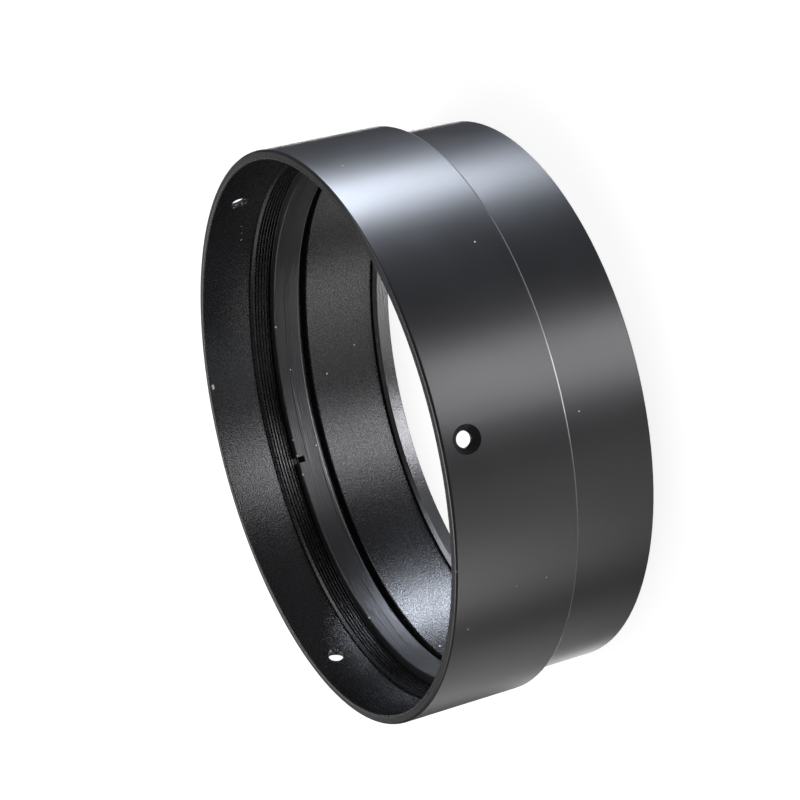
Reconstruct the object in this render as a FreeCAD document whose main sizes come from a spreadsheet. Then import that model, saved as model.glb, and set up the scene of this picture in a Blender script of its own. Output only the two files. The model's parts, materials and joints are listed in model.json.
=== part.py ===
import FreeCAD, Part
import os

import Sketcher

# Objective lens cell: a stepped, hollow, turned body and the threaded ring that keeps the lens in it.
# Millimetres. The cell stands on its lip end, at height 0, with its axis along +Z and the open end up.
# -Y looks at one of the screw holes.

SIZES = [
    ("lens_bore_radius", 60.1, "bore round the lens"),
    ("lens_bore_length", 17.8, "from the lens seat to the foot of the thread"),
    ("mouth_chamfer", 0.2, "chamfer where the lens enters its bore"),
    ("seat_height", 3.85, "lens seat above the lip face"),
    ("seat_width", 1.1, "lens seat, from the lens bore in to the lip"),
    ("seat_chamfer", 0.8, "chamfer from the seat into the lip"),
    ("seat_groove_depth", 0.6, "undercut in the corner behind the seat, beyond the lens bore"),
    ("seat_groove_width", 2.3, "length of that undercut"),
    ("lip_break", 0.15, "chamfer from the lip into the outer face"),
    ("neck_wall", 1.4, "wall of the narrow end, round the lens bore"),
    ("foot_chamfer", 0.25, "chamfer round the outside of the lip face"),
    ("step_floor", 2.25, "from the outside step up to the foot of the thread"),
    ("step_rounding", 0.5, "rounding on the edge of the step"),
    ("thread_step", 1.25, "root of the inside thread, beyond the lens bore"),
    ("thread_length", 13.95, "from the foot of the thread to the shoulder above it"),
    ("relief_depth", 1.1, "turned relief at the foot of the thread, beyond its root"),
    ("relief_width", 1.5, "length of that relief"),
    ("tube_step", 0.55, "bore for the telescope tube, beyond the thread's root"),
    ("tube_bore_depth", 12.0, "from the open rim to the shoulder that stops the tube"),
    ("rim_wall", 2.1, "wall of the wide end, round the tube bore"),
    ("rim_rounding", 0.6, "rounding round the outside of the open rim"),
    ("rim_break", 0.15, "chamfer round the inside of the open rim"),
    ("screw_radius", 1.7, "clearance hole for a tube screw"),
    ("countersink_radius", 3.1, "rim of the countersink on the outside"),
    ("countersink_angle", 90.0, "full angle of the countersink"),
    ("screw_inset", 5.7, "screw holes from the open rim"),
    ("screw_count", 3, "screw holes round the rim"),
    ("drill_overrun", 1.0, "how far the drill runs on into the hollow"),
    ("thread_clearance", 0.05, "radial gap between the ring and the thread"),
    ("ring_lift", 2.55, "ring above the foot of the thread"),
    ("ring_height", 6.3, "length of the ring"),
    ("ring_overlap", 1.2, "how far the ring reaches in over the lens bore"),
    ("ring_rounding", 0.3, "rounding inside the ring, towards the lens"),
    ("ring_inner_break", 0.2, "chamfer inside the ring, towards the rim"),
    ("ring_outer_break", 0.25, "chamfers on the two ends of the ring's thread"),
    ("slot_half_width", 0.75, "spanner slot, from its middle to one side"),
    ("slot_depth", 1.8, "depth of that slot along the axis"),
    ("slot_overrun", 1.0, "how far the slot cutter passes both walls"),
    ("slot_count", 2, "spanner slots round the ring"),
    ("slot_angle", 100.0, "first slot, turned about the axis from +X"),
]
SIZE = {name: value for name, value, note in SIZES}

# Radii and heights that more than one feature uses, as size names joined by plus and minus signs.
LIP_RADIUS = "lens_bore_radius - seat_width"
SEAT_GROOVE_RADIUS = "lens_bore_radius + seat_groove_depth"
NECK_RADIUS = "lens_bore_radius + neck_wall"
THREAD_RADIUS = "lens_bore_radius + thread_step"
RELIEF_RADIUS = THREAD_RADIUS + " + relief_depth"
TUBE_BORE_RADIUS = THREAD_RADIUS + " + tube_step"
RIM_RADIUS = TUBE_BORE_RADIUS + " + rim_wall"
RING_RADIUS = THREAD_RADIUS + " - thread_clearance"
RING_INNER_RADIUS = "lens_bore_radius - ring_overlap"

THREAD_FOOT = "seat_height + lens_bore_length"
STEP_HEIGHT = THREAD_FOOT + " - step_floor"
SHOULDER_HEIGHT = THREAD_FOOT + " + thread_length"
RIM_HEIGHT = SHOULDER_HEIGHT + " + tube_bore_depth"
SCREW_HEIGHT = RIM_HEIGHT + " - screw_inset"
ZERO = "0"

TOLERANCE = 1e-4


def value_of(formula):
    """Number that a formula of size names stands for, to draw a sketch near its final form."""
    total = 0.0
    sign = 1.0
    for word in formula.split():
        if word in ("+", "-"):
            sign = 1.0 if word == "+" else -1.0
        else:
            total += sign * (SIZE[word] if word in SIZE else float(word))
    return total


def bound(formula):
    """The same formula, pointing at the cells of the size sheet."""
    words = ["Sizes." + word if word in SIZE else word for word in formula.split()]
    return " ".join(words)


def make_sheet(doc):
    sheet = doc.addObject("Spreadsheet::Sheet", "Sizes")
    for row, (name, value, note) in enumerate(SIZES, start=1):
        sheet.set(f"A{row}", note)
        sheet.set(f"B{row}", str(value))
        sheet.setAlias(f"B{row}", name)
    doc.recompute()
    return sheet


def origin_part(body, role):
    """A plane or axis of the body's own origin."""
    return next(item for item in body.Origin.OriginFeatures if item.Role == role)


def new_sketch(body, name, plane, lift=ZERO):
    """Empty sketch on an origin plane, moved along that plane's normal by the formula lift."""
    sketch = body.newObject("Sketcher::SketchObject", name)
    sketch.AttachmentSupport = [(origin_part(body, plane), "")]
    sketch.MapMode = "FlatFace"
    sketch.setExpression(".AttachmentOffset.Base.z", bound(lift))
    return sketch


def hold_point(sketch, geometry, end, across, up):
    """Fix one end of an edge by its distances from the sketch origin."""
    for kind, formula in (("DistanceX", across), ("DistanceY", up)):
        index = sketch.addConstraint(Sketcher.Constraint(kind, -1, 1, geometry, end, value_of(formula)))
        sketch.setExpression(f"Constraints[{index}]", bound(formula))


def draw_outline(sketch, corners):
    """Closed outline through corners, each a pair of formulas across and up."""
    points = [FreeCAD.Vector(value_of(across), value_of(up), 0) for across, up in corners]
    edges = []
    for start, end in zip(points, points[1:] + points[:1]):
        edges.append(sketch.addGeometry(Part.LineSegment(start, end), False))
    for edge, following in zip(edges, edges[1:] + edges[:1]):
        sketch.addConstraint(Sketcher.Constraint("Coincident", edge, 2, following, 1))
    for edge, (across, up) in zip(edges, corners):
        hold_point(sketch, edge, 1, across, up)


def turn(body, name, kind, corners):
    """Revolve a half section about the axis: kind is a Revolution that adds or a Groove that cuts."""
    sketch = new_sketch(body, name + "_section", "XZ_Plane")
    draw_outline(sketch, corners)
    feature = body.newObject("PartDesign::" + kind, name)
    feature.Profile = sketch
    feature.ReferenceAxis = (sketch, ["V_Axis"])
    feature.Angle = 360.0
    body.Document.recompute()
    return feature


def bore(body, name, radius, bottom, top):
    """Plain round cut about the axis between two heights."""
    return turn(body, name, "Groove", [(ZERO, bottom), (radius, bottom), (radius, top), (ZERO, top)])


def circle_edge(body, radius, height):
    """Name of the round edge of that radius at that height."""
    for number, edge in enumerate(body.Shape.Edges, start=1):
        if not isinstance(edge.Curve, Part.Circle):
            continue
        same_radius = abs(edge.Curve.Radius - value_of(radius)) < TOLERANCE
        same_height = abs(edge.Curve.Center.z - value_of(height)) < TOLERANCE
        if same_radius and same_height:
            return f"Edge{number}"
    raise ValueError(f"{body.Label} has no round edge at radius {radius}, height {height}")


def dress_edge(body, name, kind, size, radius, height):
    """Chamfer or Fillet of a named size on one round edge."""
    base = (body.Tip, [circle_edge(body, radius, height)])
    feature = body.newObject("PartDesign::" + kind, name)
    feature.Base = base
    feature.setExpression("Size" if kind == "Chamfer" else "Radius", bound(size))
    body.Document.recompute()
    return feature


def repeat_round_axis(body, name, feature, count):
    """Copies of a feature, evenly spaced about the axis."""
    pattern = body.newObject("PartDesign::PolarPattern", name)
    pattern.Originals = [feature]
    pattern.Axis = (origin_part(body, "Z_Axis"), [""])
    pattern.Angle = 360.0
    pattern.setExpression("Occurrences", bound(count))
    body.Tip = pattern
    body.Document.recompute()
    return pattern


def turned_blank(body):
    """Outside of the cell, stepped down to the neck, with the clear aperture through it."""
    turn(body, "turned_blank", "Revolution", [
        (LIP_RADIUS, ZERO),
        (NECK_RADIUS, ZERO),
        (NECK_RADIUS, STEP_HEIGHT),
        (RIM_RADIUS, STEP_HEIGHT),
        (RIM_RADIUS, RIM_HEIGHT),
        (LIP_RADIUS, RIM_HEIGHT),
    ])


def bored_inside(body):
    """Bores, from the open rim down to the lens seat, and the two undercuts."""
    bore(body, "tube_bore", TUBE_BORE_RADIUS, SHOULDER_HEIGHT, RIM_HEIGHT)
    bore(body, "thread_bore", THREAD_RADIUS, THREAD_FOOT, SHOULDER_HEIGHT)
    bore(body, "thread_relief", RELIEF_RADIUS, THREAD_FOOT, THREAD_FOOT + " + relief_width")
    bore(body, "lens_bore", "lens_bore_radius", "seat_height", THREAD_FOOT)
    bore(body, "seat_groove", SEAT_GROOVE_RADIUS, "seat_height", "seat_height + seat_groove_width")


def broken_edges(body):
    """Roundings of the open rim and the step, and the chamfers on the other turned edges."""
    dress_edge(body, "rim_round", "Fillet", "rim_rounding", RIM_RADIUS, RIM_HEIGHT)
    dress_edge(body, "rim_inside", "Chamfer", "rim_break", TUBE_BORE_RADIUS, RIM_HEIGHT)
    dress_edge(body, "step_edge", "Fillet", "step_rounding", RIM_RADIUS, STEP_HEIGHT)
    dress_edge(body, "foot_edge", "Chamfer", "foot_chamfer", NECK_RADIUS, ZERO)
    dress_edge(body, "lens_mouth", "Chamfer", "mouth_chamfer", "lens_bore_radius", THREAD_FOOT)
    dress_edge(body, "seat_edge", "Chamfer", "seat_chamfer", LIP_RADIUS, "seat_height")
    dress_edge(body, "lip_edge", "Chamfer", "lip_break", LIP_RADIUS, ZERO)


def screw_holes(body):
    """Countersunk holes drilled inwards through the wall of the tube bore."""
    sketch = new_sketch(body, "screw_place", "XZ_Plane", RIM_RADIUS)
    centre = FreeCAD.Vector(0, value_of(SCREW_HEIGHT), 0)
    mark = sketch.addGeometry(Part.Circle(centre, FreeCAD.Vector(0, 0, 1), value_of("screw_radius")), False)
    hold_point(sketch, mark, 3, ZERO, SCREW_HEIGHT)
    radius = sketch.addConstraint(Sketcher.Constraint("Radius", mark, value_of("screw_radius")))
    sketch.setExpression(f"Constraints[{radius}]", bound("screw_radius"))
    body.Document.recompute()

    hole = body.newObject("PartDesign::Hole", "screw_hole")
    hole.Profile = sketch
    hole.Threaded = False
    hole.DepthType = "Dimension"
    hole.DrillPoint = "Flat"
    hole.HoleCutType = "Countersink"
    hole.setExpression("Diameter", bound("screw_radius + screw_radius"))
    hole.setExpression("Depth", bound("rim_wall + drill_overrun"))
    hole.setExpression("HoleCutDiameter", bound("countersink_radius + countersink_radius"))
    hole.setExpression("HoleCutCountersinkAngle", bound("countersink_angle"))
    body.Document.recompute()
    repeat_round_axis(body, "screw_holes", hole, "screw_count")


def make_cell_body(doc):
    body = doc.addObject("PartDesign::Body", "cell_body")
    body.Label = "cell_body"
    turned_blank(body)
    bored_inside(body)
    broken_edges(body)
    screw_holes(body)
    return body


def ring_section(body):
    """Ring with a plain inside, rounded towards the lens; its own height starts at 0."""
    turn(body, "ring_blank", "Revolution", [
        (RING_INNER_RADIUS, ZERO),
        (RING_RADIUS, ZERO),
        (RING_RADIUS, "ring_height"),
        (RING_INNER_RADIUS, "ring_height"),
    ])
    dress_edge(body, "ring_lower_inside", "Fillet", "ring_rounding", RING_INNER_RADIUS, ZERO)
    dress_edge(body, "ring_upper_inside", "Chamfer", "ring_inner_break", RING_INNER_RADIUS, "ring_height")
    dress_edge(body, "ring_upper_outside", "Chamfer", "ring_outer_break", RING_RADIUS, "ring_height")
    dress_edge(body, "ring_lower_outside", "Chamfer", "ring_outer_break", RING_RADIUS, ZERO)


def spanner_slots(body):
    """Slots sawn radially through the ring's wall in its upper face."""
    sketch = new_sketch(body, "slot_outline", "XY_Plane", "ring_height")
    inner = RING_INNER_RADIUS + " - slot_overrun"
    outer = RING_RADIUS + " + slot_overrun"
    draw_outline(sketch, [
        (inner, "- slot_half_width"),
        (outer, "- slot_half_width"),
        (outer, "slot_half_width"),
        (inner, "slot_half_width"),
    ])
    slot = body.newObject("PartDesign::Pocket", "spanner_slot")
    slot.Profile = sketch
    slot.setExpression("Length", bound("slot_depth"))
    body.Document.recompute()
    repeat_round_axis(body, "spanner_slots", slot, "slot_count")


def make_retaining_ring(doc):
    body = doc.addObject("PartDesign::Body", "retaining_ring")
    body.Label = "retaining_ring"
    ring_section(body)
    spanner_slots(body)
    turned = FreeCAD.Rotation(FreeCAD.Vector(0, 0, 1), value_of("slot_angle"))
    body.Placement = FreeCAD.Placement(FreeCAD.Vector(0, 0, 0), turned)
    body.setExpression(".Placement.Base.z", bound(THREAD_FOOT + " + ring_lift"))
    body.setExpression(".Placement.Rotation.Angle", bound("slot_angle"))
    return body


def check_objects(doc):
    """Stop on any object that failed to build, and on any part without one valid solid."""
    for item in doc.Objects:
        if "Invalid" in item.State or "Error" in item.State:
            raise RuntimeError(f"{item.Name} failed: {item.State}")
    for body in doc.findObjects("PartDesign::Body"):
        shape = body.Shape
        if shape.isNull() or not shape.isValid() or len(shape.Solids) != 1:
            raise RuntimeError(f"{body.Label} is not one valid solid")


def write_parts(doc):
    os.makedirs("parts", exist_ok=True)
    for body in doc.findObjects("PartDesign::Body"):
        body.Shape.exportStep(f"parts/{body.Label}.step")
        box = body.Shape.BoundBox
        print(f"{body.Label}: volume {body.Shape.Volume:.1f} mm3, height {box.ZMin:.2f} to {box.ZMax:.2f}")


def main():
    doc = FreeCAD.newDocument("objective_lens_cell")
    make_sheet(doc)
    make_cell_body(doc)
    make_retaining_ring(doc)
    doc.recompute()
    check_objects(doc)
    write_parts(doc)


main()
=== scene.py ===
"""The looks of the objective lens cell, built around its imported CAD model.

The cell stands on its lip end on a pale floor, open rim up. Lengths are in metres. Azimuths
and elevations are in degrees and follow the frame: azimuth 0 is on the -Y side, 90 on +X.
"""

import json
import math

import bpy
from mathutils import Matrix, Vector


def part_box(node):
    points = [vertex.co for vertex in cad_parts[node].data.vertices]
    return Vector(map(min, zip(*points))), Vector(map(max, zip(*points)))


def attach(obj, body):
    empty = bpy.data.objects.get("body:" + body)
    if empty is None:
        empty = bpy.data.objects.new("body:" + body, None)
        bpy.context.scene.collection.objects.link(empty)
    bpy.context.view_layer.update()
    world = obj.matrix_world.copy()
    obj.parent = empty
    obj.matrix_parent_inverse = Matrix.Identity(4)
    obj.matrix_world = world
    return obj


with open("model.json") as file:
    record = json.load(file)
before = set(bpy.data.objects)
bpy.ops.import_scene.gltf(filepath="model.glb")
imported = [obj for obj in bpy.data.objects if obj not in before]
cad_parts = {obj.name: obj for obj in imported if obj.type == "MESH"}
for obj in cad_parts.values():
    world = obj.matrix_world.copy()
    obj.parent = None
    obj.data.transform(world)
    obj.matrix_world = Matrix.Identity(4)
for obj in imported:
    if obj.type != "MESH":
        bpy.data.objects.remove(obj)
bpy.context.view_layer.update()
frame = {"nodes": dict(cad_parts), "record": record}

MM = 0.001

# Sizes read from the frame
RIM_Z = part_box("cell_body")[1].z
RING_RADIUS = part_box("retaining_ring")[1].y
MOUNTS = {mount["name"]: mount for mount in frame["record"]["mounts"]}
TUBE_BORE_RADIUS = MOUNTS["tube_bore"]["dims"]["r_mm"] * MM
LENS_BORE_RADIUS = MOUNTS["lens_bore"]["dims"]["r_mm"] * MM
NECK_RADIUS = MOUNTS["neck"]["dims"]["r_mm"] * MM
SCREW_RADIUS = MOUNTS["tube_screw_front"]["dims"]["r_mm"] * MM
SCREW_Z = MOUNTS["tube_screw_front"]["pos_m"][2]

# Sizes of the inside thread, which the solids leave as a plain bore
SHOULDER_DEPTH = 12.0 * MM
SHOULDER_Z = RIM_Z - SHOULDER_DEPTH
ROOT_CLEARANCE = 0.05 * MM
RIDGE_HEIGHT = 0.41 * MM
RIDGE_SUNK = 0.15 * MM
THREAD_ROOT = RING_RADIUS + ROOT_CLEARANCE
THREAD_CREST = THREAD_ROOT - RIDGE_HEIGHT
THREAD_BACK = THREAD_ROOT + RIDGE_SUNK
THREAD_PITCH = 0.75 * MM
THREAD_DEPTH = 12.35 * MM
THREAD_SEGMENTS = 240
RIDGE_FOOT = 0.66 * MM
RIDGE_CREST = 0.2 * MM
CREST_ROUND = 0.04 * MM
FIRST_CREST_DEPTH = 13.31 * MM
FIRST_CREST_AZIMUTH = math.radians(100)
LAND_HEIGHT = 0.8 * MM
LAND_CHAMFER = 0.55 * MM
LAND_WALL = 0.07 * MM
LAND_PROUD = 0.02 * MM
LAND_MOUTH = 0.03 * MM

# The photograph's camera
CAMERA_AZIMUTH = 6.0
CAMERA_ELEVATION = 23.473
CAMERA_ROLL = 104.272
CAMERA_DISTANCE = 544.48 * MM
CAMERA_TARGET = Vector((3.851, 1.159, 25.676)) * MM
CAMERA_LENS = 110.59
CAMERA_CLIP = (0.01, 50.0)
SENSOR_WIDTH = 36.0


def toward(azimuth, elevation):
    """Unit vector from the object towards that azimuth and elevation, in degrees."""
    a, e = math.radians(azimuth), math.radians(elevation)
    return Vector((math.sin(a) * math.cos(e), -math.cos(a) * math.cos(e), math.sin(e)))


def around(radius, angle, z):
    """Point at that radius, height and angle about the axis, the angle counted from +X."""
    return Vector((radius * math.cos(angle), radius * math.sin(angle), z))


# Nodes ---------------------------------------------------------------------------------

# The colour sockets of a Mix node
MIX_FIRST, MIX_SECOND, MIX_RESULT = 6, 7, 2


class Tree:
    """Adds nodes to one node tree and joins them up."""

    def __init__(self, tree):
        self.tree = tree
        tree.nodes.clear()

    def add(self, kind, inputs=None, **settings):
        """A new node; inputs are values or other nodes' sockets, by name or number."""
        node = self.tree.nodes.new(kind)
        for name, value in settings.items():
            setattr(node, name, value)
        for name, value in (inputs or {}).items():
            self.give(node.inputs[name], value)
        return node

    def give(self, socket, value):
        """Joins an output socket to an input, or sets the input's own value."""
        if isinstance(value, bpy.types.NodeSocket):
            self.tree.links.new(value, socket)
        else:
            socket.default_value = value

    def math(self, operation, *values, clamp=False):
        """One step of arithmetic."""
        inputs = dict(enumerate(values))
        node = self.add("ShaderNodeMath", inputs, operation=operation, use_clamp=clamp)
        return node.outputs[0]

    def vector_math(self, operation, *values):
        """One step of arithmetic on vectors, as the node."""
        return self.add("ShaderNodeVectorMath", dict(enumerate(values)), operation=operation)

    def rise(self, value, start, end, low=0.0, high=1.0):
        """A smooth step from low to high while value goes from start to end."""
        names = {"Value": value, "From Min": start, "From Max": end}
        names.update({"To Min": low, "To Max": high})
        node = self.add("ShaderNodeMapRange", names, interpolation_type="SMOOTHSTEP")
        return node.outputs["Result"]

    def mix(self, share, first, second):
        """Colour between first and second."""
        inputs = {"Factor": share, MIX_FIRST: first, MIX_SECOND: second}
        return self.add("ShaderNodeMix", inputs, data_type="RGBA").outputs[MIX_RESULT]

    def noise(self, vector, size, detail=2.0, roughness=0.5):
        """Noise with features of about that size, between 0 and 1."""
        names = {"Vector": vector, "Scale": 1 / size, "Detail": detail, "Roughness": roughness}
        return self.add("ShaderNodeTexNoise", names).outputs["Fac"]

    def bump(self, height, depth, normal=None):
        """Normal tilted by a height field of that depth."""
        names = {"Height": height, "Distance": depth, "Strength": 1.0}
        if normal is not None:
            names["Normal"] = normal
        return self.add("ShaderNodeBump", names).outputs["Normal"]


# Materials -----------------------------------------------------------------------------

ANODISE_IOR = 1.6

# Grain, and the lines that turning left round the axis: sizes, and the parts of the noise used
GRAIN_SIZE = 0.38 * MM
GRAIN_RANGE = (0.35, 0.65)
LINE_PITCH = 0.3 * MM
LINE_STRETCH = 0.03
LINE_RANGE = (0.3, 0.7)
LINE_ROUGHER = 0.02
SCRATCH_PITCH = 4 * LINE_PITCH
SCRATCH_RANGE = (0.6, 0.68)

# The outside is evenly satin: less relief and more roughness than the bored inside
OUTSIDE_RELIEF = 0.08
OUTSIDE_ROUGHER = 0.05
BORED_BELOW_STEP = (NECK_RADIUS - 0.6 * MM, NECK_RADIUS - 0.3 * MM)
BORED_ABOVE_STEP = (TUBE_BORE_RADIUS + 0.4 * MM, TUBE_BORE_RADIUS + 0.8 * MM)
STEP_BAND = (21.0 * MM, 23.0 * MM)

SMUDGE_SIZE = 16.0 * MM
SMUDGE_RANGE = (0.2, 0.8)
SMUDGE_ROUGHER = 0.015
SMUDGE_PALER = 1.25

# Specks: the share of the cell's size that one covers, and how strongly each one may show
SPECK_SPACING = 7.5 * MM
SPECK_SIZE = 0.018
SPECK_FADE = 1.8
SPECK_RANGE = (0.2, 0.9)
SPECK_STRENGTH = 0.6

# Colour of bare metal in specks and wear, also used for the ring's painted glints
BARE_AND_GLINT_COLOUR = (0.8, 0.79, 0.78, 1.0)
BARE_AND_GLINT_ROUGHER = 0.3

# The lip is smoother and brighter than the rest
LIP_REACH = LENS_BORE_RADIUS - 0.4 * MM
LIP_FADE = 0.2 * MM
LIP_ROUGHNESS = 0.18
LIP_COLOUR = (0.17, 0.17, 0.175, 1.0)
LIP_METAL = 0.7

# Edges painted paler and more metallic as a painted highlight: beyond a radius and below a
# height
STEP_EDGE = (63.4 * MM, 19.9 * MM)
RING_EDGE = (58.0 * MM, 24.5 * MM)
EDGE_RADIUS_FADE = 0.1 * MM
EDGE_HEIGHT_FADE = 0.15 * MM
EDGE_HIGHLIGHT_COLOUR = (0.3, 0.3, 0.31, 1.0)
EDGE_HIGHLIGHT_METAL = 0.7

# Places painted in bare colour where the cell shows bright spots: radius, angle in degrees,
# height and half size, all lengths in mm. On the cell they are wear and specks, mostly bare
# metal.
MARK_RAGGED = 0.5 * MM
MARK_CORE = 0.7
CELL_MARKS = [
    (61.9, 78.82, 46.9, 0.36),
    (61.9, 79.1, 46.85, 0.38),
    (61.9, 79.38, 46.8, 0.36),
    (60.1, 82.0, 17.8, 0.26),
    (60.1, 159.4, 19.85, 0.3),
    (61.9, 38.8, 39.4, 0.17),
    (61.9, 41.2, 39.1, 0.15),
    (61.9, 43.3, 38.85, 0.2),
]
# On the ring they are painted glints: bare colour where highlights catch its top inner edge,
# the slot corner and its lower band
RING_GLINTS = [
    (58.95, 95.1, 30.4, 0.3),
    (58.95, 67.4, 30.3, 0.36),
    (58.95, 99.0, 30.4, 0.3),
    (58.95, 103.6, 30.4, 0.28),
    (58.9, 97.7, 24.85, 0.2),
    (58.95, 144.1, 30.3, 0.3),
    (58.9, 78.6, 27.6, 0.2),
]

# Bare metal of the flakes at the screw holes
FLAKE_GRAIN = 0.15 * MM
FLAKE_RELIEF = 0.02 * MM
FLAKE_DARK = (0.25, 0.25, 0.26, 1.0)
FLAKE_BRIGHT = (0.7, 0.7, 0.71, 1.0)
FLAKE_RANGE = (0.3, 0.7)
FLAKE_ROUGHNESS = (0.22, 0.4)
FLAKE_METAL = 0.85


def anodised(
    name,
    colour,
    roughness,
    grain,
    lines,
    sparkle,
    scratches=0.0,
    specks=1.0,
    lip=False,
    edge=None,
    marks_and_glints=(),
):
    """Black anodised aluminium, turned: fine grain, lines round the axis, smudges, specks.

    grain, lines and scratches are depths of relief. sparkle is how far the grain changes the
    roughness inside. specks is the strength of the specks. lip gives the lip its own finish.
    edge is (radius, height): beyond that radius and below that height the colour is painted
    paler and more metallic, a painted highlight along the edge. The last argument lists places
    painted in bare colour: wear and specks on the cell, and painted glints on the ring.
    """
    material = bpy.data.materials.new(name)
    material.use_nodes = True
    tree = Tree(material.node_tree)
    place = tree.add("ShaderNodeTexCoord").outputs["Object"]
    x, y, z = tree.add("ShaderNodeSeparateXYZ", {0: place}).outputs
    squares = tree.math("ADD", tree.math("MULTIPLY", x, x), tree.math("MULTIPLY", y, y))
    radius = tree.math("SQRT", squares)
    turned = tree.add(
        "ShaderNodeCombineXYZ",
        {
            0: tree.math("MULTIPLY", x, LINE_STRETCH),
            1: tree.math("MULTIPLY", y, LINE_STRETCH),
            2: tree.math("ADD", z, radius),
        },
    ).outputs[0]

    fine = tree.noise(place, GRAIN_SIZE, detail=2.0, roughness=0.6)
    ridges = tree.noise(turned, LINE_PITCH, detail=3.0, roughness=0.65)
    smudge = tree.noise(place, SMUDGE_SIZE)
    bored = bored_part(tree, radius, z)

    speck = tree.add("ShaderNodeTexVoronoi", {"Vector": place, "Scale": 1 / SPECK_SPACING})
    away = speck.outputs["Distance"]
    bare_and_glint = tree.rise(away, SPECK_SIZE, SPECK_SIZE * SPECK_FADE, specks, 0.0)
    chance = tree.add("ShaderNodeSeparateColor", {0: speck.outputs["Color"]}).outputs[0]
    chance = tree.rise(chance, *SPECK_RANGE, 0.0, SPECK_STRENGTH)
    bare_and_glint = tree.math("MULTIPLY", bare_and_glint, chance)
    # Marks add bare colour: wear and specks on the cell, painted glints on the ring
    bare_and_glint = tree.math("MAXIMUM", bare_and_glint, mark_and_glint_mask(tree, place, marks_and_glints))

    rough = tree.rise(
        smudge, *SMUDGE_RANGE, roughness - SMUDGE_ROUGHER, roughness + SMUDGE_ROUGHER
    )
    glints = tree.rise(fine, *GRAIN_RANGE, -sparkle, sparkle)
    streaks = tree.rise(ridges, *LINE_RANGE, -LINE_ROUGHER, LINE_ROUGHER)
    glints = tree.math("ADD", glints, streaks)
    rough = tree.math("ADD", rough, tree.math("MULTIPLY", bored, glints))
    rough = tree.math("ADD", rough, tree.rise(bored, 0.0, 1.0, OUTSIDE_ROUGHER, 0.0))
    worn = tuple(SMUDGE_PALER * c for c in colour[:3]) + (1.0,)
    shade = tree.mix(tree.rise(smudge, *SMUDGE_RANGE), colour, worn)
    metal = 0.0
    if lip:
        within = tree.rise(radius, LIP_REACH, LIP_REACH + LIP_FADE, 1.0, 0.0)
        smoother = tree.math("MULTIPLY", within, roughness - LIP_ROUGHNESS)
        rough = tree.math("SUBTRACT", rough, smoother)
        metal = tree.math("MULTIPLY", within, LIP_METAL)
        shade = tree.mix(within, shade, LIP_COLOUR)
    # Painted highlight: a paler, more metallic band along the edge's bright line
    if edge:
        edge_highlight = highlighted_edge(tree, radius, z, edge)
        metal = tree.math("MAXIMUM", metal, tree.math("MULTIPLY", edge_highlight, EDGE_HIGHLIGHT_METAL))
        shade = tree.mix(edge_highlight, shade, EDGE_HIGHLIGHT_COLOUR)
    rough = tree.math("ADD", rough, tree.math("MULTIPLY", bare_and_glint, BARE_AND_GLINT_ROUGHER), clamp=True)
    shade = tree.mix(bare_and_glint, shade, BARE_AND_GLINT_COLOUR)

    relief = tree.rise(bored, 0.0, 1.0, OUTSIDE_RELIEF, 1.0)
    normal = tree.bump(tree.math("MULTIPLY", fine, relief), grain)
    normal = tree.bump(tree.math("MULTIPLY", ridges, bored), lines, normal)
    if scratches:
        scored = tree.noise(turned, SCRATCH_PITCH, detail=1.0, roughness=0.4)
        normal = tree.bump(tree.rise(scored, *SCRATCH_RANGE), scratches, normal)

    names = {"Base Color": shade, "Roughness": rough, "Metallic": metal, "Normal": normal}
    shader = tree.add("ShaderNodeBsdfPrincipled", names)
    shader.inputs["IOR"].default_value = ANODISE_IOR
    tree.add("ShaderNodeOutputMaterial", {"Surface": shader.outputs[0]})
    return material


def bored_part(tree, radius, z):
    """1 on the inside, where the grain is coarser, and 0 on the outside."""
    lower = tree.rise(radius, *BORED_BELOW_STEP, 1.0, 0.0)
    upper = tree.rise(radius, *BORED_ABOVE_STEP, 1.0, 0.0)
    above = tree.rise(z, *STEP_BAND)
    return tree.math("MAXIMUM", lower, tree.math("MULTIPLY", upper, above))


def highlighted_edge(tree, radius, z, edge):
    """1 where the edge's highlight is painted: beyond the edge's radius and below its height.
    """
    beyond = tree.rise(radius, edge[0] - EDGE_RADIUS_FADE, edge[0])
    below = tree.rise(z, edge[1] - EDGE_HEIGHT_FADE, edge[1], 1.0, 0.0)
    return tree.math("MULTIPLY", beyond, below)


def mark_and_glint_mask(tree, place, marks_and_glints):
    """1 inside the marks and the painted glints, with ragged edges, and 0 elsewhere."""
    names = {"Vector": place, "Scale": 1 / MARK_RAGGED, "Detail": 1.0}
    wander = tree.add("ShaderNodeTexNoise", names).outputs["Color"]
    wander = tree.vector_math("SUBTRACT", wander, (0.5, 0.5, 0.5)).outputs[0]
    bent = tree.vector_math("MULTIPLY_ADD", wander, (MARK_RAGGED,) * 3, place).outputs[0]
    covered = 0.0
    for radius, angle, height, size in marks_and_glints:
        centre = around(radius * MM, math.radians(angle), height * MM)
        apart = tree.vector_math("DISTANCE", bent, centre).outputs["Value"]
        inside = tree.rise(apart, size * MARK_CORE * MM, size * MM, 1.0, 0.0)
        covered = tree.math("MAXIMUM", covered, inside)
    return covered


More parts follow.
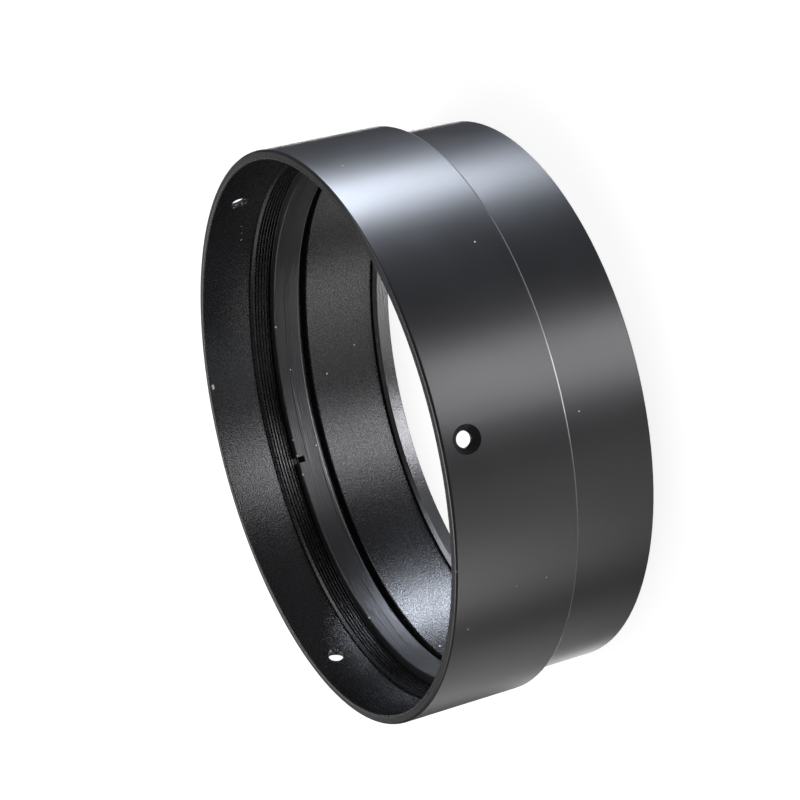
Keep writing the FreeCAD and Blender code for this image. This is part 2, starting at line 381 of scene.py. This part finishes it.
def bare_metal(name):
    """Bright raw aluminium, as on a flake."""
    material = bpy.data.materials.new(name)
    material.use_nodes = True
    tree = Tree(material.node_tree)
    place = tree.add("ShaderNodeTexCoord").outputs["Object"]
    fine = tree.noise(place, FLAKE_GRAIN, detail=2.0, roughness=0.6)
    shader = tree.add(
        "ShaderNodeBsdfPrincipled",
        {
            "Base Color": tree.mix(fine, FLAKE_DARK, FLAKE_BRIGHT),
            "Roughness": tree.rise(fine, *FLAKE_RANGE, *FLAKE_ROUGHNESS),
            "Normal": tree.bump(fine, FLAKE_RELIEF),
        },
    )
    shader.inputs["Metallic"].default_value = FLAKE_METAL
    tree.add("ShaderNodeOutputMaterial", {"Surface": shader.outputs[0]})
    return material


# Pieces --------------------------------------------------------------------------------


def new_piece(name, points, faces, material, body, slot, sharp=30):
    """A mesh piece in the row frame that rides on a body."""
    mesh = bpy.data.meshes.new(name)
    mesh.from_pydata([tuple(p) for p in points], [], faces)
    mesh.validate()
    mesh.shade_smooth()
    mesh.set_sharp_from_angle(angle=math.radians(sharp))
    piece = bpy.data.objects.new(name, mesh)
    bpy.context.scene.collection.objects.link(piece)
    mesh.materials.append(material)
    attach(piece, body)
    return piece


def swept(outline, places, closed):
    """Points and faces of a closed outline swept through places.

    outline holds (radius, height) pairs. places holds (angle, height) pairs. closed joins the
    last place to the first, and otherwise both ends are capped.
    """
    count = len(outline)
    points = [around(r, angle, rise + h) for angle, rise in places for r, h in outline]
    steps = len(places) if closed else len(places) - 1
    faces = []
    for i in range(steps):
        here, there = i * count, (i + 1) % len(places) * count
        for j in range(count):
            k = (j + 1) % count
            faces.append((here + j, here + k, there + k, there + j))
    if not closed:
        last = (len(places) - 1) * count
        faces.append(tuple(reversed(range(count))))
        faces.append(tuple(range(last, last + count)))
    return points, faces


def thread_ridge():
    """The thread's ridge: right-handed, from inside the land down to the relief below it."""
    shoulder = RIDGE_CREST / 2 + CREST_ROUND
    outline = [
        (THREAD_BACK, -RIDGE_FOOT / 2),
        (THREAD_BACK, RIDGE_FOOT / 2),
        (THREAD_ROOT, RIDGE_FOOT / 2),
        (THREAD_CREST + CREST_ROUND, shoulder),
        (THREAD_CREST, RIDGE_CREST / 2),
        (THREAD_CREST, -RIDGE_CREST / 2),
        (THREAD_CREST + CREST_ROUND, -shoulder),
        (THREAD_ROOT, -RIDGE_FOOT / 2),
    ]
    top = SHOULDER_Z - LAND_HEIGHT + LAND_WALL
    bottom = SHOULDER_Z - THREAD_DEPTH + RIDGE_FOOT / 2
    crest_z = RIM_Z - FIRST_CREST_DEPTH
    first = FIRST_CREST_AZIMUTH + (top - crest_z) / THREAD_PITCH * 2 * math.pi
    turns = (top - bottom) / THREAD_PITCH
    steps = int(turns * THREAD_SEGMENTS)
    places = []
    for i in range(steps + 1):
        down = i / THREAD_SEGMENTS
        places.append((first - down * 2 * math.pi, top - down * THREAD_PITCH))
    return swept(outline, places, closed=False)


def thread_land():
    """The land above the thread, most of it the chamfer of the thread's mouth."""
    inner = THREAD_CREST - LAND_PROUD
    below = LAND_HEIGHT - LAND_CHAMFER - LAND_WALL
    outline = [
        (THREAD_BACK, SHOULDER_Z - LAND_HEIGHT),
        (THREAD_BACK, SHOULDER_Z),
        (THREAD_ROOT + LAND_MOUTH, SHOULDER_Z),
        (inner, SHOULDER_Z - LAND_CHAMFER),
        (inner, SHOULDER_Z - LAND_CHAMFER - LAND_WALL),
        (inner + below, SHOULDER_Z - LAND_HEIGHT),
    ]
    places = [(2 * math.pi * i / THREAD_SEGMENTS, 0.0) for i in range(THREAD_SEGMENTS)]
    return swept(outline, places, closed=True)


# Flakes on the inner ends of two screw holes. Each arc is the middle and the spread along the
# hole's edge, in degrees, and the height and the outward lean, in mm.
FLAKE_HOLES = [math.radians(150), math.radians(30)]
FLAKE_ARCS = [
    (128, 64, 0.3, 0.08),
    (152, 13, 0.8, 0.2),
    (167, 9, 0.6, 0.45),
    (200, 8, 0.6, 0.3),
    (217, 14, 0.5, 0.25),
    (250, 26, 0.22, 0.15),
    (318, 14, 0.3, 0.2),
    (40, 12, 0.3, 0.2),
]
FLAKE_STEPS = 8
FLAKE_SUNK = 0.08
FLAKE_FOOT = (0.02, 0.16)
FLAKE_THICKNESS = 0.06
FLAKE_INNER_TOP = 0.96
FLAKE_ENDS = 0.06
FLAKE_TAPER = 0.7

# The second hole's flakes are the first one's, turned, shorter and lower
SECOND_TURN = 70
SECOND_SPREAD = 0.7
SECOND_HEIGHT = 0.35


def flake(hole, arc):
    """A curled flake on the inner end of a screw hole: a thin wall along a part of its edge."""
    middle, spread, height, lean = arc
    out = Vector((math.cos(hole), math.sin(hole), 0))
    aside = Vector((-out.y, out.x, 0))
    points = []
    for i in range(FLAKE_STEPS + 1):
        turn = math.radians(middle + spread * (i / FLAKE_STEPS - 0.5))
        along = FLAKE_ENDS + (1 - 2 * FLAKE_ENDS) * i / FLAKE_STEPS
        top = height * math.sin(math.pi * along) ** FLAKE_TAPER
        corners = (
            (FLAKE_FOOT[0], -FLAKE_SUNK),
            (FLAKE_FOOT[1], -FLAKE_SUNK),
            (FLAKE_THICKNESS + lean, top),
            (lean, top * FLAKE_INNER_TOP),
        )
        for away, up in corners:
            reach = SCREW_RADIUS + away * MM
            across = reach * math.cos(turn)
            depth = math.sqrt(TUBE_BORE_RADIUS ** 2 - across ** 2) - up * MM
            height_z = SCREW_Z + reach * math.sin(turn)
            points.append(out * depth + aside * across + Vector((0, 0, height_z)))
    faces = []
    for i in range(FLAKE_STEPS):
        for j in range(4):
            k = (j + 1) % 4
            faces.append((i * 4 + j, i * 4 + k, i * 4 + 4 + k, i * 4 + 4 + j))
    last = FLAKE_STEPS * 4
    faces.append((3, 2, 1, 0))
    faces.append((last, last + 1, last + 2, last + 3))
    return points, faces


def flakes():
    """All the flakes as one mesh."""
    points, faces = [], []
    for hole in FLAKE_HOLES:
        for middle, spread, height, lean in FLAKE_ARCS:
            if hole != FLAKE_HOLES[0]:
                middle += SECOND_TURN
                spread *= SECOND_SPREAD
                height *= SECOND_HEIGHT
            more, sides = flake(hole, (middle, spread, height, lean))
            faces += [tuple(corner + len(points) for corner in side) for side in sides]
            points += more
    return points, faces


cell_finish = anodised(
    "cell_finish",
    colour=(0.012, 0.0122, 0.0135, 1.0),
    roughness=0.28,
    grain=0.06 * MM,
    lines=0.012 * MM,
    sparkle=0.05,
    lip=True,
    edge=STEP_EDGE,
    marks_and_glints=CELL_MARKS,
)
ring_finish = anodised(
    "ring_finish",
    colour=(0.02, 0.0203, 0.022, 1.0),
    roughness=0.36,
    grain=0.03 * MM,
    lines=0.08 * MM,
    sparkle=0.03,
    scratches=0.06 * MM,
    edge=RING_EDGE,
    marks_and_glints=RING_GLINTS,
)
burr_finish = bare_metal("burr_finish")
# The thread's finish is the cell's anodise made darker: painted shade in the thread's recess
thread_shaded_finish = anodised(
    "thread_shaded_finish",
    colour=(0.005, 0.005, 0.006, 1.0),
    roughness=0.26,
    grain=0.004 * MM,
    lines=0.004 * MM,
    sparkle=0.01,
    specks=0.6,
)

for node, finish in (("cell_body", cell_finish), ("retaining_ring", ring_finish)):
    for slot in frame["nodes"][node].material_slots:
        slot.material = finish

new_piece("thread", *thread_ridge(), thread_shaded_finish, "cell", "cell_anodise", sharp=50)
new_piece("thread_land", *thread_land(), cell_finish, "cell", "cell_anodise")
new_piece("hole_burrs", *flakes(), burr_finish, "cell", "cell_anodise")


# Stage ---------------------------------------------------------------------------------

FLOOR_HALF = 4.0
FLOOR_COLOUR = (0.36, 0.36, 0.36, 1.0)
FLOOR_GLOW = 0.86


def make_floor():
    """A pale floor that shows white to the camera and keeps a faint shadow.

    It doesn't show in reflections and lets the low lamps shine through.
    """
    mesh = bpy.data.meshes.new("floor")
    h = FLOOR_HALF
    mesh.from_pydata([(-h, -h, 0), (h, -h, 0), (h, h, 0), (-h, h, 0)], [], [(0, 1, 2, 3)])
    floor = bpy.data.objects.new("floor", mesh)
    bpy.context.scene.collection.objects.link(floor)
    material = bpy.data.materials.new("floor")
    material.use_nodes = True
    tree = Tree(material.node_tree)
    path = tree.add("ShaderNodeLightPath").outputs
    plain = tree.add("ShaderNodeBsdfDiffuse", {"Color": FLOOR_COLOUR})
    strength = tree.math("MULTIPLY", path["Is Camera Ray"], FLOOR_GLOW)
    glow = tree.add("ShaderNodeEmission", {"Strength": strength})
    both = tree.add("ShaderNodeAddShader", {0: plain.outputs[0], 1: glow.outputs[0]})
    tree.add("ShaderNodeOutputMaterial", {"Surface": both.outputs[0]})
    mesh.materials.append(material)
    floor.visible_glossy = False
    floor.visible_shadow = False


WORLD_LIGHT = 0.18
WORLD_SHINE = 0.075


def make_world():
    """A white world to the camera and through glass, and a low one to the surfaces."""
    world = bpy.data.worlds.new("studio")
    world.use_nodes = True
    bpy.context.scene.world = world
    tree = Tree(world.node_tree)
    path = tree.add("ShaderNodeLightPath").outputs
    seen = tree.math("MAXIMUM", path["Is Camera Ray"], path["Is Transmission Ray"])
    glossy = tree.math("MULTIPLY", path["Is Glossy Ray"], WORLD_SHINE)
    plain = tree.math("MULTIPLY", path["Is Diffuse Ray"], WORLD_LIGHT)
    strength = tree.math("MAXIMUM", tree.math("MAXIMUM", glossy, plain), seen)
    back = tree.add("ShaderNodeBackground", {"Strength": strength})
    tree.add("ShaderNodeOutputWorld", {"Surface": back.outputs[0]})


# Lamps: azimuth, elevation, distance, width, height, radiance, colour
LAMPS = {
    "side_lamp": (98, -14, 1.5, 0.5, 0.52, 35.0, (0.8, 0.87, 1.0)),
    "back_lamp": (176, -22, 1.5, 0.4, 0.6, 9.5, (1.0, 0.97, 0.96)),
    "far_lamp": (-154, -32, 1.5, 0.6, 0.4, 2.2, (1.0, 0.98, 0.98)),
    "front_lamp": (13, -25, 1.5, 0.62, 0.4, 7.0, (0.98, 0.96, 1.0)),
    "low_lamp": (8, -56, 1.5, 0.45, 0.8, 12.0, (0.98, 0.98, 1.0)),
    "upper_lamp": (100, 50, 1.5, 0.6, 0.6, 3.0, (0.98, 0.98, 1.0)),
    "left_lamp": (-60, -14, 1.5, 0.75, 0.45, 4.2, (1.0, 0.96, 0.96)),
    "left_fill": (-115, -20, 1.5, 1.2, 0.35, 0.9, (1.0, 0.98, 0.98)),
    "left_high": (-112, 34, 1.5, 0.8, 0.6, 1.2, (1.0, 0.98, 0.98)),
    "front_fill": (-34, -22, 1.5, 0.6, 0.5, 1.0, (1.0, 1.0, 1.0)),
    "rim_lamp": (-174, 5, 1.5, 0.9, 0.5, 1.15, (1.0, 0.98, 0.97)),
    "top_lamp": (-150, 68, 1.6, 1.0, 1.0, 4.5, (1.0, 1.0, 1.0)),
}


def add_lamp(name, azimuth, elevation, distance, width, height, radiance, colour):
    """A soft rectangular lamp that faces the object. The camera doesn't see it."""
    data = bpy.data.lights.new(name, "AREA")
    data.shape = "RECTANGLE"
    data.size, data.size_y = width, height
    data.energy = radiance * math.pi * width * height
    data.color = colour
    lamp = bpy.data.objects.new(name, data)
    way = toward(azimuth, elevation)
    lamp.location = CAMERA_TARGET + way * distance
    lamp.rotation_euler = (-way).to_track_quat("-Z", "Y").to_euler()
    lamp.visible_camera = False
    bpy.context.scene.collection.objects.link(lamp)


def make_camera():
    """The photograph's camera: it looks down into the rim and is rolled on its side."""
    data = bpy.data.cameras.new("camera")
    data.lens, data.sensor_width = CAMERA_LENS, SENSOR_WIDTH
    data.clip_start, data.clip_end = CAMERA_CLIP
    camera = bpy.data.objects.new("camera", data)
    back = toward(CAMERA_AZIMUTH, CAMERA_ELEVATION)
    level = (-back).to_track_quat("-Z", "Y").to_matrix().to_4x4()
    roll = Matrix.Rotation(-math.radians(CAMERA_ROLL), 4, "Z")
    place = Matrix.Translation(CAMERA_TARGET + back * CAMERA_DISTANCE)
    camera.matrix_world = place @ level @ roll
    bpy.context.scene.collection.objects.link(camera)
    bpy.context.scene.camera = camera


make_floor()
make_world()
make_camera()
for name, settings in LAMPS.items():
    add_lamp(name, *settings)

bpy.context.scene.view_settings.view_transform = "Standard"
